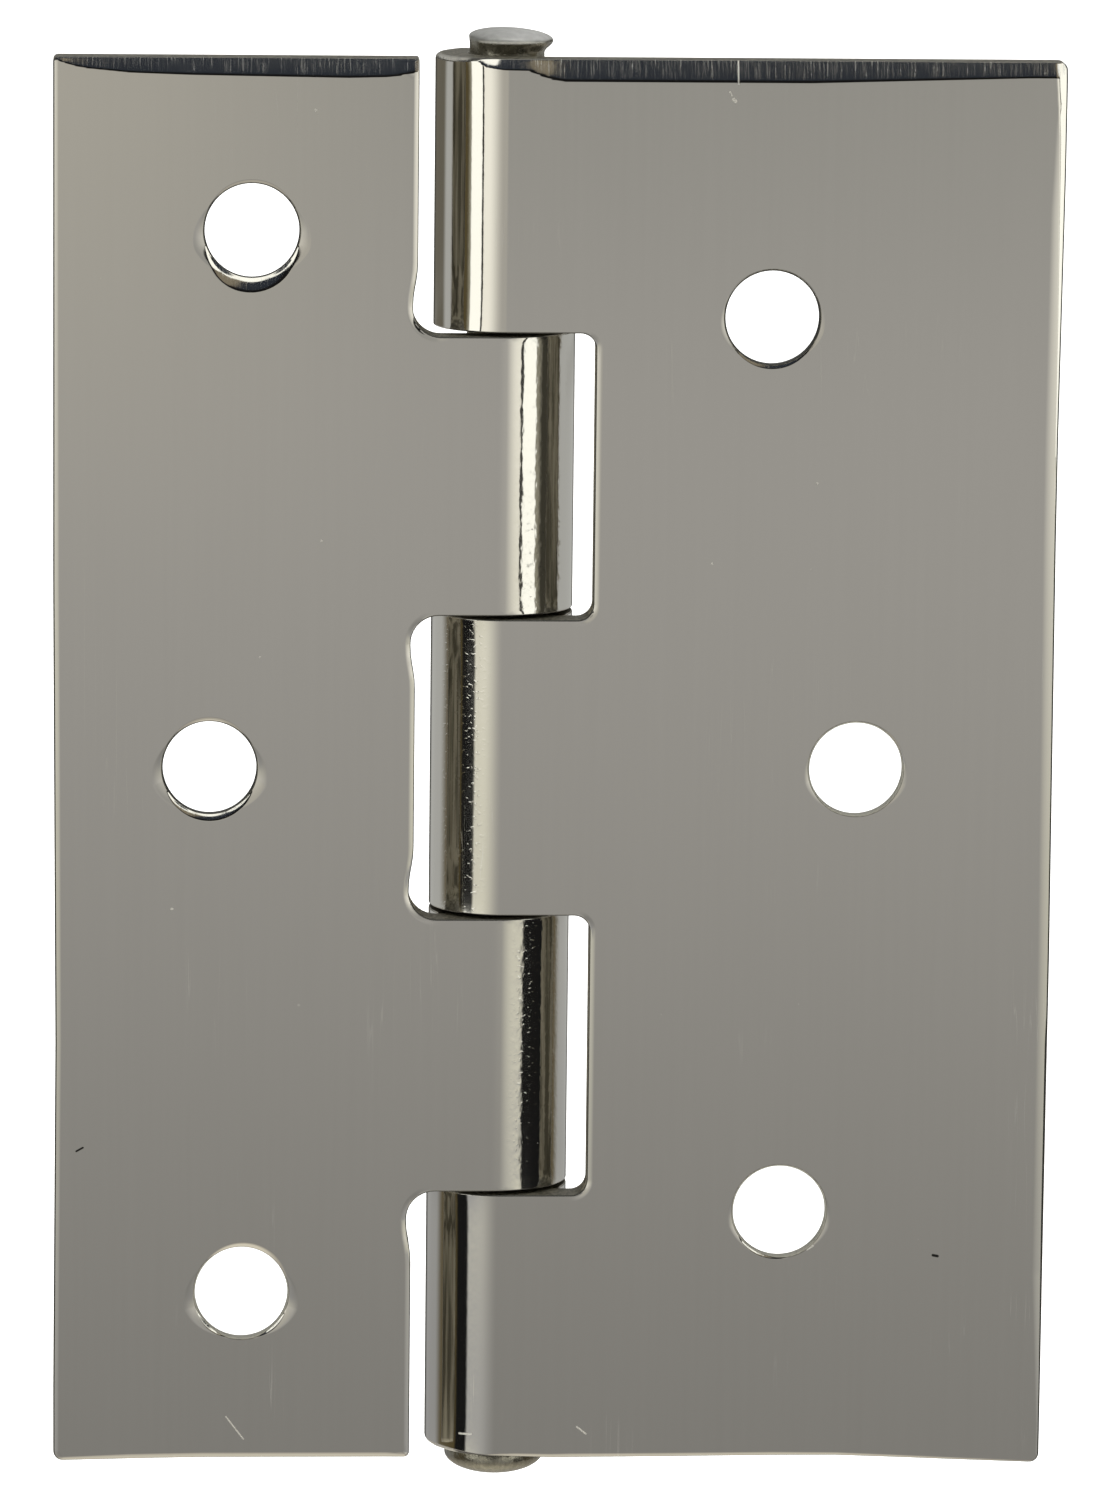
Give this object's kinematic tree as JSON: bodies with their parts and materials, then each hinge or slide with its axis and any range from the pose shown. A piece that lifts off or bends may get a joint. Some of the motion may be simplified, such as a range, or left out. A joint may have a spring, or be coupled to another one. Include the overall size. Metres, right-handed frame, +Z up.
{
  "type": "cabinet butt hinge",
  "caption": "Flat steel butt hinge with unequal leaves, knuckles rolled round a headed pin and countersunk screw holes, for hanging a cabinet door.",
  "frame": {"origin": "on the wide leaf's flush mounting face, on the line of the pin, half way up the leaves", "axes": "+Z up along the pin, +X from the pin towards the wide leaf's free edge, -Y out of the flush mounting faces, with the knuckles on the +Y side; the leaves lie open flat"},
  "size_m": [0.0536, 0.0076, 0.0791],
  "materials": {
    "leaf_steel": "polished",
    "pin_steel": "satin"
  },
  "bodies": {
    "wide_side": {"wide_leaf": "leaf_steel", "hinge_pin": "pin_steel"},
    "narrow_side": {"narrow_leaf": "leaf_steel"}
  },
  "joints": [
    {"name": "leaf_swing", "type": "hinge", "parent": "wide_side", "child": "narrow_side", "pos_m": [0, 0.0038, 0], "axis": [0, 0, -1], "range_deg": [-95, 188]}
  ]
}
